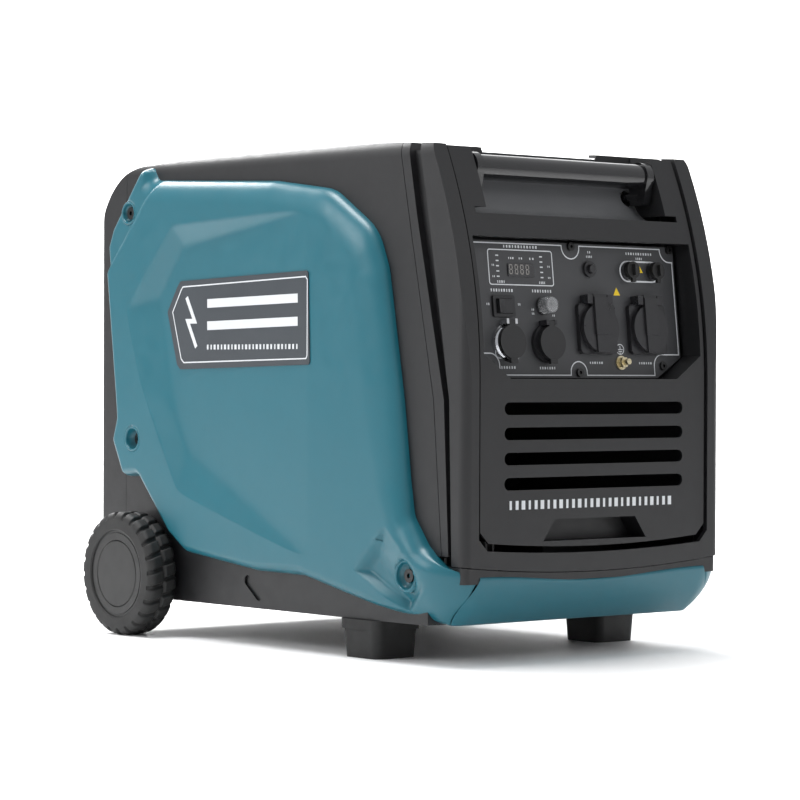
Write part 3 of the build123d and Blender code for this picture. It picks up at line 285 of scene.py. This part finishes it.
def rounded_outline(corners, step=2.5):
    """A closed polygon with each corner replaced by a tangent arc: points about every step, and
    the last value of each corner carried along as a blend."""
    points, extra = [], []
    count = len(corners)
    for i in range(count):
        before, here, after = (np.array(corners[j % count][:2], float) for j in (i - 1, i, i + 1))
        arrive, leave = here - before, after - here
        len_in, len_out = np.linalg.norm(arrive), np.linalg.norm(leave)
        arrive, leave = arrive / len_in, leave / len_out
        turn = math.acos(float(np.clip(arrive @ leave, -1, 1)))
        cut = min(corners[i][2] * math.tan(turn / 2), 0.45 * min(len_in, len_out))
        start, end = here - arrive * cut, here + leave * cut
        pieces = max(2, int(cut * 2 / step) + 2)
        t = np.linspace(0, 1, pieces)[:, None]
        bend = (1 - t) ** 2 * start + 2 * t * (1 - t) * here + t**2 * end
        points.append(bend)
        extra.append(np.full(pieces, corners[i][3], float))
    loop, value = np.concatenate(points), np.concatenate(extra)
    lengths = np.linalg.norm(np.roll(loop, -1, 0) - loop, axis=1)
    along = np.concatenate([[0], np.cumsum(lengths)])
    closed = np.vstack([loop, loop[:1]])
    values = np.concatenate([value, value[:1]])
    even = np.linspace(0, along[-1], int(along[-1] / step), endpoint=False)
    return (np.stack([np.interp(even, along, closed[:, k]) for k in (0, 1)], 1),
            np.interp(even, along, values))


def distance_to_loop(points, loop, values):
    """Distance from each point to a closed loop, and the loop's value at the nearest place."""
    start, span = loop, np.roll(loop, -1, 0) - loop
    best, found = np.full(len(points), 1e9), np.zeros(len(points))
    for a, d, v0, v1 in zip(start, span, values, np.roll(values, -1)):
        t = np.clip(((points - a) @ d) / (d @ d + 1e-12), 0, 1)
        gap = np.linalg.norm(points - a - t[:, None] * d, axis=1)
        closer = gap < best
        best = np.where(closer, gap, best)
        found = np.where(closer, v0 + (v1 - v0) * t, found)
    return best, found


def wrap(along, height, out):
    """A point of the wrapped skin: along the plan of the left side, round the front corner on
    its arc and across the front; out is measured from the panel's base plane, outwards."""
    turned = np.clip((CORNER_Y - along) / CORNER, 0, np.pi / 2)
    across = np.maximum(CORNER_Y - along - CORNER * np.pi / 2, 0)
    radius = CORNER - THICK + out
    x = -(SIDE_X - CORNER) - radius * np.cos(turned) + across
    y = np.where(along > CORNER_Y, along, CORNER_Y) - radius * np.sin(turned)
    return np.stack([x, y, height + 0 * x], -1)


def tuck(along, height):
    """How far the skin draws in below UNDER_Z: most at the front, nothing behind the foot."""
    down = np.clip((UNDER_Z - height) / (UNDER_Z - BOTTOM_Z), 0, 1)
    ahead = smooth_step((-170.0 - along) / 90.0)
    return 30.0 * down**2.2 * ahead


def field_depth(y, z):
    """Depth of the sunk field: a floor that slopes in towards the rear, met by a sloping wall
    inside each edge of its outline; the meeting is softened."""
    floor = FIELD_SLOPE * np.clip(y - FIELD_START, 0, 1.3 * FIELD_LENGTH)
    count = len(FIELD)
    depth = floor
    for i in range(count):
        a, b = np.array(FIELD[i][:2], float), np.array(FIELD[(i + 1) % count][:2], float)
        side = (b - a) / np.linalg.norm(b - a)
        inward = (y - a[0]) * side[1] - (z - a[1]) * side[0]
        wall = inward * FIELD[i][2]
        soft = 1.2
        depth = 0.5 * (depth + wall - np.sqrt((depth - wall) ** 2 + soft**2))
    return np.maximum(depth, 0)


def corner_pad(y, z):
    """The facets cut at the upper rear corner and the sunk triangle round the front screw, as depths
    below the panel's face."""
    rear = (np.array([201.0, 449.0]), np.array([242.0, 405.0]))
    side = (rear[1] - rear[0]) / np.linalg.norm(rear[1] - rear[0])
    beyond = (y - rear[0][0]) * -side[1] + (z - rear[0][1]) * side[0]
    depth = np.clip(beyond * 0.9, 0, 5.0)
    triangle = [(-205.0, 131.0), (-160.0, 86.0), (-229.0, 50.0), (-262.0, 78.0)]
    sunk = np.full_like(y, 9.0)
    for i in range(4):
        a, b = np.array(triangle[i]), np.array(triangle[(i + 1) % 4])
        edge = (b - a) / np.linalg.norm(b - a)
        inside = (y - a[0]) * edge[1] - (z - a[1]) * edge[0]
        sunk = np.minimum(sunk, inside * (0.25 if i == 3 else 1.1))
    return np.maximum(depth, np.maximum(sunk, 0))


def side_panel(name, node, side):
    """A side panel: rays run from a centre to the rounded outline, and at each point the height
    above the shell is an elliptical edge, less the sunk field, the pads and the screw wells."""
    loop, rounding = rounded_outline(OUTLINE)
    rings = 1 - (1 - np.linspace(0, 1, 105)) ** 1.25
    centre = np.array(PANEL_CENTRE)
    plan = centre + rings[None, :, None] * (loop - centre)[:, None, :]
    flat = plan.reshape(-1, 2)
    along, height = flat[:, 0], flat[:, 1]
    gap, width = distance_to_loop(flat, loop, rounding)
    lip = 2.0 + 14.0 * smooth_step((-246.0 - along) / 40.0)
    rise = np.sqrt(np.clip(1 - (1 - np.clip(gap / width, 0, 1)) ** 2, 0, 1))
    out = lip + (THICK - lip) * rise
    depth = np.maximum(field_depth(along, height), corner_pad(along, height))
    for y, z, r in WELLS:
        away = np.hypot(along - y, height - z)
        depth = np.where(away < r + 1.2, np.maximum(depth, WELL_DEPTH), depth)
    out = np.maximum(out - depth, 0.6)
    out = out - tuck(along, height)
    points = wrap(along, height, out).reshape(len(loop), -1, 3)
    edge = wrap(loop[:, 0], loop[:, 1], -1.0 - tuck(loop[:, 0], loop[:, 1]))[:, None, :]
    points = np.concatenate([points, edge], 1)
    points[..., 0] *= -side
    skin = (points.reshape(-1, 3), grid_faces(points.shape[0], points.shape[1], wrap_rows=True,
                                              flip=side > 0))
    cups = []
    for y, z, r in WELLS:
        face = THICK - float(np.max([field_depth(np.array([y]), np.array([z]))[0],
                                     corner_pad(np.array([y]), np.array([z]))[0]]))
        spot = wrap(np.array([y]), np.array([z]), np.array([0.0]))[0]
        spot[0] = -side * spot[0]
        profile = [(r + 3.5, face - 2.5), (r + 2.2, face + 0.1), (r + 1.0, face + 0.5),
                   (r + 0.2, face + 0.1), (r - 0.1, face - 1.0), (r - 0.6, 7.2), (0.01, 7.2)]
        cups.append(lathe(profile, 48, (spot, (0, 1, 0), (0, 0, side), (side, 0, 0))))
    points, faces = join([skin] + cups)
    return new_piece(name, points, faces, TEAL, slot="teal_panel", replaces=[node])


def bumper():
    """The bumper: its section is the skin's tuck from the top edge to the bottom, carried across
    the front between the two seams, with a small lip along the top edge."""
    columns, rows = 160, 28
    seam_top, seam_bottom = -320.0, -283.5
    down = np.linspace(0, 1, rows)
    across = np.linspace(0, 1, columns)
    top = 85.5
    height = top - (top - BOTTOM_Z) * down
    start = seam_top + (seam_bottom - seam_top) * np.clip((85.0 - height) / 47.0, 0, 1) ** 1.3
    middle = CORNER_Y - CORNER * np.pi / 2 - (SIDE_X - CORNER)
    along = start[None, :] + (middle - start[None, :]) * across[:, None]
    z = np.broadcast_to(height, along.shape)
    # the top edge dips towards the middle
    sag = 6.5 * smooth_step(across)[:, None] * (1 - down)[None, :]
    z = z - sag
    lip = np.clip(down / 0.06, 0, 1)[None, :]
    out = THICK - 1.5 * (1 - np.sqrt(1 - (1 - lip) ** 2)) - tuck(along, z)
    half = wrap(along, z, out)
    back = wrap(along[:, :1], z[:, :1], out[:, :1] - 6.0)
    under = wrap(along[:, -1:], z[:, -1:], out[:, -1:] - 8.0)
    half = np.concatenate([back, half, under], 1)
    other = half[::-1].copy()
    other[..., 0] *= -1
    whole = np.concatenate([half, other[1:]], 0)
    return new_piece("bumper_skin", whole.reshape(-1, 3),
                     grid_faces(whole.shape[0], whole.shape[1], flip=True), TEAL,
                     slot="teal_panel", replaces=["front_bumper"])


for side, name in ((-1, "left"), (1, "right")):
    side_panel(f"{name}_panel_skin", f"{name}_side_panel", side)
bumper()


# ============================ tyres ============================
TYRE_R, TYRE_BORE, SHOULDER = 65.0, 46.0, 8.0
LUGS, GROOVE = 24, 3.4              # tread lugs round the tyre, and the depth between them


def tyre(name, node, body):
    """A tyre: a closed section (side faces, round shoulders, flat tread, bore) turned about the
    axle; its radius drops by a groove wherever the turn, leaned by the place across the tread,
    falls in the open part of its pitch, fading out down the side faces."""
    low, high = (np.array(v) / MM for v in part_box(node))
    middle, half = (low[0] + high[0]) / 2, (high[0] - low[0]) / 2
    face = TYRE_R - SHOULDER
    side = np.linspace(TYRE_BORE, face, 8)
    bend = np.radians(np.linspace(8, 90, 12))
    flat = np.linspace(half - SHOULDER, SHOULDER - half, 22)[1:-1]
    x = np.concatenate([np.full(8, half), half - SHOULDER + SHOULDER * np.cos(bend), flat])
    r = np.concatenate([side, face + SHOULDER * np.sin(bend), np.full(20, TYRE_R)])
    x = np.concatenate([x, -x[:20][::-1]])
    r = np.concatenate([r, r[:20][::-1]])
    turn = np.linspace(0, 2 * np.pi, 576, endpoint=False)
    phase = (turn[:, None] * LUGS / (2 * np.pi) + 0.3 * x / half + 0.25 * (x > 0)) % 1
    groove = smooth_step((0.36 - np.abs(phase - 0.5) * 2) / 0.14)
    groove = np.maximum(groove, smooth_step((1.6 - np.abs(x)) / 0.8)[None, :])
    depth = GROOVE * groove * smooth_step((r - face - 0.5) / 3.0)[None, :]
    radius = r[None, :] - depth
    points = np.stack([middle + x[None, :] + 0 * radius,
                       (low[1] + high[1]) / 2 + radius * np.cos(turn)[:, None],
                       TYRE_R + radius * np.sin(turn)[:, None]], -1)
    new_piece(name, points.reshape(-1, 3),
              grid_faces(len(turn), len(x), wrap_rows=True, wrap_columns=True, flip=True), TYRE,
              body=body, slot="tyre_rubber", replaces=[node])


tyre("left_tyre_tread", "left_tyre", "left_wheel")
tyre("right_tyre_tread", "right_tyre", "right_wheel")


# ============================ printed lines and marks ============================
def ribbon(path, width, place, closed=False, thick=0.14):
    """A flat line of a given width along a path of (x, v) points: at each point the two edges lie
    half a width to either side of the path, square to it, and the line stands up by thick."""
    path = np.asarray(path, float)
    ahead = np.roll(path, -1, 0) - path
    behind = path - np.roll(path, 1, 0)
    if not closed:
        ahead[-1], behind[0] = behind[-1], ahead[0]
    ahead = ahead / (np.linalg.norm(ahead, axis=1)[:, None] + 1e-9)
    behind = behind / (np.linalg.norm(behind, axis=1)[:, None] + 1e-9)
    across = np.stack([-(ahead + behind)[:, 1], (ahead + behind)[:, 0]], 1)
    across /= np.linalg.norm(across, axis=1)[:, None] + 1e-9
    stretch = np.clip((across[:, 0] * -ahead[:, 1] + across[:, 1] * ahead[:, 0]), 0.5, 1)[:, None]
    left, right = path + across * width / 2 / stretch, path - across * width / 2 / stretch
    section = np.stack([np.concatenate([edge, np.full((len(path), 1), h)], 1)
                        for edge, h in ((left, 0.01), (left, thick), (right, thick), (right, 0.01))],
                       1)
    points = place(section.reshape(-1, 3))
    faces = grid_faces(len(path), 4, wrap_rows=closed, wrap_columns=True, flip=True)
    if not closed:
        last = (len(path) - 1) * 4
        faces = [tuple(f) for f in faces] + [(3, 2, 1, 0), (last, last + 1, last + 2, last + 3)]
    return points, faces


def arc(x, v, radius, start, end, count=14):
    """Points on an arc about (x, v), between two angles in degrees."""
    turn = np.radians(np.linspace(start, end, count))
    return [(x + radius * math.cos(t), v + radius * math.sin(t)) for t in turn]


def box_path(x, v, wide, high, corner):
    """A closed path round a rounded box about (x, v)."""
    points = []
    for sx, sv, start in ((1, 1, 0), (-1, 1, 90), (-1, -1, 180), (1, -1, 270)):
        points += arc(x + sx * (wide / 2 - corner), v + sv * (high / 2 - corner), corner, start,
                      start + 90, 7)
    return points


LEAN = math.asin(14.0 / 122.8)      # how far the control panel leans back
PANEL_Y, PANEL_Z = -274.3, 279.0    # the control panel's origin, on its face
WINDOW_FACE = 1.25                  # stand-out of the display window's face
FASCIA_FACE = -298.05               # just ahead of the fascia
PRINT = 1.0                         # width of the thinner printed lines


def on_panel(points):
    """(x, v, height) on the leaning control panel to the shared frame."""
    x, v, h = points.T
    return np.stack([x, PANEL_Y + v * math.sin(LEAN) - h * math.cos(LEAN),
                     PANEL_Z + v * math.cos(LEAN) + h * math.sin(LEAN)], 1)


def dashes(x, v, wide, high, count, place):
    """A row of short upright bars that stands for a printed word."""
    step = wide / count
    rows = []
    for i in range(count):
        size = step * (0.34 + 0.22 * ((i * 7) % 3) / 2)
        centre = x - wide / 2 + step * (i + 0.5)
        rows.append(ribbon([(centre - size / 2, v), (centre + size / 2, v)], high, place))
    return rows


# each label of the control panel: middle (x, v), width, height and number of dashes
LABELS = [(-67, 122.6, 46, 2.6, 12), (25, 119.9, 5, 2.2, 2), (25, 115.4, 9, 2.2, 4),
          (94, 120, 38, 2.4, 11), (94, 115.2, 10, 2.2, 4), (-95, 79.6, 30, 2.8, 9),
          (-42.5, 79.7, 27, 2.8, 8), (-114, 66, 5, 2.2, 2), (-73.5, 66.2, 4, 2.2, 2),
          (-93.5, 4.8, 20, 2.6, 6), (-42, 4.4, 22, 2.4, 7), (24, 9.9, 19, 2.2, 6),
          (92, 9.8, 19, 2.2, 6), (-95, 88, 11, 2.4, 4), (-41, 88, 9, 2.4, 4),
          (-56, 57.5, 4, 2.0, 2), (-56, 61.5, 4, 2.0, 2), (-29, 56, 4, 2.0, 2),
          (-80, 111.2, 8, 2.0, 3), (-67.5, 111.2, 6, 2.0, 2), (-53, 111.2, 8, 2.0, 2),
          (-104, 104, 4, 1.8, 2), (-104, 93, 4, 1.8, 2), (-31, 104, 4, 1.8, 2),
          (-31, 93, 4, 1.8, 2)]
LAMP_COLUMNS, LAMP_TOP, LAMP_STEP = (-98, -40.5), 113.5, 5.1
EARTH_X, EARTH_V, EARTH_R = 58.3, 23.5, 5.0
TRIANGLES = [(59.3, 77.5, 4.6), (94.5, 101.0, 3.8)]     # middle of the base, and half the base


def panel_print():
    """The panel's border, the frames round the display and the parallel sockets, dashes for the
    labels, the columns of lamps by the display, and the earth sign."""
    outline = ([(-141, 125.5), (-12, 125.5)]
               + arc(0, 124.5, 12, 180, 360)[1:-1] + [(12, 125.5), (124, 125.5)]
               + arc(136.5, 125, 12.5, 180, 270)[1:] + [(140.5, 112.5), (140.5, 18.5), (118, 18.5)]
               + arc(116, 7, 11.5, 90, 180)[1:] + [(104.5, -2.5), (11, -2.5)]
               + arc(0, 0, 11, 0, 180)[1:-1] + [(-11, -2.5), (-104.5, -2.5), (-104.5, 7)]
               + arc(-116, 7, 11.5, 0, 90)[1:] + [(-126, 18.5), (-141, 18.5)])
    parts = [ribbon(outline, 1.1, on_panel, closed=True)]
    parts.append(ribbon(box_path(-67.7, 102.2, 84, 34, 2.5), PRINT, on_panel, closed=True))
    parts.append(ribbon(box_path(93.5, 102, 54, 20, 9.9), 1.6, on_panel, closed=True))
    for x, v, wide, high, count in LABELS:
        parts += dashes(x, v, wide, high, count, on_panel)
    for x in LAMP_COLUMNS:
        for row in range(5):
            v = LAMP_TOP - LAMP_STEP * row
            parts.append(ribbon([(x - 1.8, v), (x + 1.8, v)], 1.2, on_panel))
    ring = arc(EARTH_X, EARTH_V, EARTH_R, 0, 360, 33)[:-1]
    stem = [(EARTH_X, EARTH_V + 3.5), (EARTH_X, EARTH_V - 0.3)]
    parts += [ribbon(ring, 0.7, on_panel, closed=True), ribbon(stem, 0.7, on_panel)]
    for half, drop in ((3.5, 0.3), (2.3, 2.2), (1.0, 3.8)):
        bar = [(EARTH_X - half, EARTH_V - drop), (EARTH_X + half, EARTH_V - drop)]
        parts.append(ribbon(bar, 0.7, on_panel))
    new_piece("panel_print", *join(parts), INK, smooth=False)


def caution_marks():
    """Plain yellow triangles, each a stack of strips whose width falls to nothing at the top."""
    strips = []
    rise = np.linspace(0, 1, 9)
    for x, v, half in TRIANGLES:
        high = half * 1.7
        for low, top in zip(rise[:-1], rise[1:]):
            middle = (low + top) / 2
            wide = half * (1 - middle)
            strip = [(x - wide, v + high * middle), (x + wide, v + high * middle)]
            strips.append(ribbon(strip, high * (top - low), on_panel))
    new_piece("caution_marks", *join(strips), YELLOW, smooth=False)


def seven_segment(x, v, wide, high):
    """The seven bars of one digit, all lit, as on a display test."""
    bars = [[(x - wide / 2, v + y), (x + wide / 2, v + y)] for y in (-high / 2, 0, high / 2)]
    bars += [[(x + sx * wide / 2, v + sy * high * 0.08), (x + sx * wide / 2, v + sy * high * 0.44)]
             for sx in (-1, 1) for sy in (-1, 1)]
    return [ribbon(bar, 1.1, lambda p: on_panel(p + np.array([0, 0, WINDOW_FACE]))) for bar in bars]


def display():
    """The four dim digits in the display window."""
    digits = []
    for i in range(4):
        digits += seven_segment(-82 + 7.2 * i, 100.2, 3.4, 8.6)
    new_piece("display_digits", *join(digits), DIGIT, smooth=False)


panel_print()
caution_marks()
display()


def on_badge(side):
    """(distance along, height, stand-out) on a badge plate, whose face slopes in to the rear."""
    def place(points):
        y, z, h = points.T
        depth = (y - FIELD_START) * FIELD_SLOPE
        return np.stack([side * (SIDE_X - depth + BADGE_THICK + h), y, z], 1)
    return place


BADGE_THICK = 1.55                  # stand-out of a badge plate, with its adhesive


def badge_print(side, name):
    """A thin border, a plain lightning bolt, two plain stripes and a row of dashes."""
    place = on_badge(side)
    border = [(-83, 373), (133, 367), (136, 364), (152, 341), (136, 292), (131, 288), (-84, 292),
              (-86, 295), (-86, 370)]
    parts = [ribbon(border, 1.3, place, closed=True)]
    parts += [ribbon([(126, 356), (111, 331), (124, 331), (108, 304)], 5.0, place),
              ribbon([(88, 349), (-70, 352)], 9.0, place),
              ribbon([(88, 326), (-70, 329)], 9.0, place)]
    parts += dashes(9, 304, 162, 5.0, 26, place)
    points, faces = join(parts)
    if side < 0:
        faces = [face[::-1] for face in faces]
    new_piece(name, points, faces, INK, smooth=False)


badge_print(-1, "left_badge_print")
badge_print(1, "right_badge_print")


def on_front(points):
    """(x, height, stand-out) on the upright face of the fascia to the shared frame."""
    x, v, h = points.T
    return np.stack([x, FASCIA_FACE - h, v], 1)


new_piece("fascia_print", *join(dashes(-5, 152.5, 222, 8.5, 27, on_front)), INK, smooth=False)


# ============================ floor, light and camera ============================
YAW, PITCH, ROLL = 40.248, -0.537, 0.218            # the camera's attitude, in degrees
EYE, LENS = (-2.03165, -2.40255, 0.27913), 134.84


def studio():
    """A pale floor, flat for its first 0.6 and then curving up into a backdrop, with soft lights
    overhead, at the left and in front, and one each to wash the floor and the backdrop."""
    along = np.linspace(0, 1, 60)
    height = np.where(along < 0.6, 0.0, (1 - np.cos((along - 0.6) / 0.4 * np.pi / 2)) * 6.0)
    depth = -4.0 + along * 12.0
    turn = math.radians(-40)
    across = np.linspace(-8, 8, 3)
    points = np.array([[x * math.cos(turn) - y * math.sin(turn),
                        x * math.sin(turn) + y * math.cos(turn), z]
                       for y, z in zip(depth, height) for x in across])
    floor_material = moulded("pale_floor", (0.96, 0.96, 0.96), rough=0.6, variety=0.01,
                             grain=40.0, grain_depth=0.00002)
    mesh = bpy.data.meshes.new("floor")
    mesh.from_pydata(points.tolist(), [], grid_faces(60, 3, flip=True).tolist())
    mesh.polygons.foreach_set("use_smooth", np.full(len(mesh.polygons), True))
    mesh.materials.append(floor_material)
    floor = bpy.data.objects.new("floor", mesh)
    bpy.context.scene.collection.objects.link(floor)

    world = bpy.data.worlds.new("studio")
    bpy.context.scene.world = world
    world.use_nodes = True
    world.node_tree.nodes["Background"].inputs["Color"].default_value = (0.97, 0.98, 1.0, 1)
    world.node_tree.nodes["Background"].inputs["Strength"].default_value = 0.62
    bpy.context.scene.view_settings.view_transform = "Standard"

    def soft_light(name, place, size, power, aim=(0, 0, 0.25)):
        light = bpy.data.lights.new(name, "AREA")
        light.shape, light.size, light.size_y = "RECTANGLE", size[0], size[1]
        light.energy = power
        lamp = bpy.data.objects.new(name, light)
        lamp.location = place
        lamp.rotation_mode = "QUATERNION"
        lamp.rotation_quaternion = (Vector(aim) - Vector(place)).to_track_quat("-Z", "Y")
        bpy.context.scene.collection.objects.link(lamp)

    soft_light("overhead", (-0.5, 0.2, 2.4), (1.2, 1.0), 52)
    soft_light("left_side", (-2.4, 1.1, 1.6), (1.0, 1.2), 22)
    soft_light("front_fill", (0.9, -2.8, 1.6), (0.8, 0.8), 8)
    soft_light("floor_wash", (1.0, 3.2, 2.6), (3.0, 1.0), 200)
    soft_light("backdrop_wash", (0.9, 1.1, 3.4), (3.0, 1.2), 420, aim=(4.2, 5.0, 1.6))


def camera():
    """The camera stands at the front left, about level with the panel."""
    yaw, pitch, roll = (math.radians(angle) for angle in (YAW, PITCH, ROLL))
    ahead = Vector((math.sin(yaw) * math.cos(pitch), math.cos(yaw) * math.cos(pitch),
                    math.sin(pitch)))
    level = Vector((math.cos(yaw), -math.sin(yaw), 0))
    upward = level.cross(ahead)
    right = level * math.cos(roll) + upward * math.sin(roll)
    up = upward * math.cos(roll) - level * math.sin(roll)
    eye = bpy.data.objects.new("camera", bpy.data.cameras.new("camera"))
    eye.data.lens, eye.data.sensor_width = LENS, 36.0
    eye.data.clip_start, eye.data.clip_end = 0.05, 60.0
    turn = Matrix((right, up, -ahead)).transposed()
    eye.matrix_world = Matrix.Translation(EYE) @ turn.to_4x4()
    bpy.context.scene.collection.objects.link(eye)
    bpy.context.scene.camera = eye


studio()
camera()
